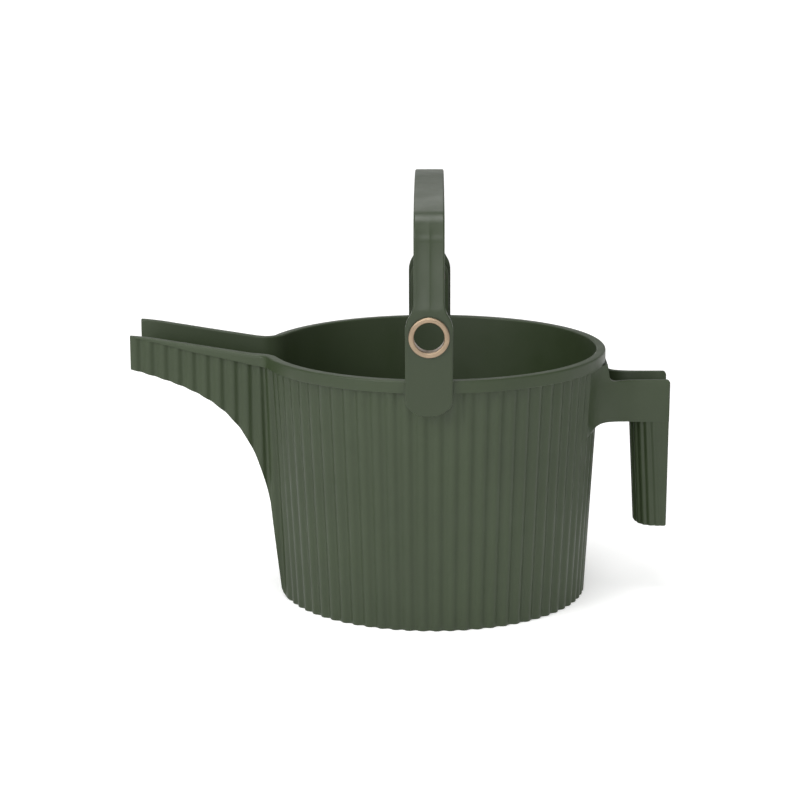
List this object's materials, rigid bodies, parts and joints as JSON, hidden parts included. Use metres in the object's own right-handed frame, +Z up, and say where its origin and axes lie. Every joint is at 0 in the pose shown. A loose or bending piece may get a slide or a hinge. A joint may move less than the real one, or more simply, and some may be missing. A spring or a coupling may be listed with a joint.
{
  "type": "watering can",
  "caption": "Fluted bucket watering can with an open trough spout, a hollow L-shaped side handle and a flat folding bail on hollow rose-gold pivots.",
  "frame": {"origin": "on the bucket's axis, at the base plane that the can stands on", "axes": "+Z up; the spout points along -X and the side handle along +X; the bail's pivot axis is parallel to Y"},
  "size_m": [0.3444, 0.234, 0.2725],
  "materials": {
    "body_plastic": "satin moulded plastic, dark olive green",
    "bail_plastic": "smooth satin moulded plastic, dark olive green",
    "rose_gold": "satin rose-gold anodised, polished bevels",
    "ring_metal": "satin black anodised"
  },
  "bodies": {
    "can": {"body": "body_plastic", "front_pivot_sleeve": "rose_gold", "rear_pivot_sleeve": "rose_gold", "front_retaining_ring": "ring_metal", "rear_retaining_ring": "ring_metal"},
    "bail": {"bail_handle": "bail_plastic"}
  },
  "joints": [
    {"name": "bail_pivot", "type": "hinge", "parent": "can", "child": "bail", "pos_m": [-0.0025, 0, 0.1889], "axis": [0, 1, 0], "range_deg": [-103, 103]}
  ]
}
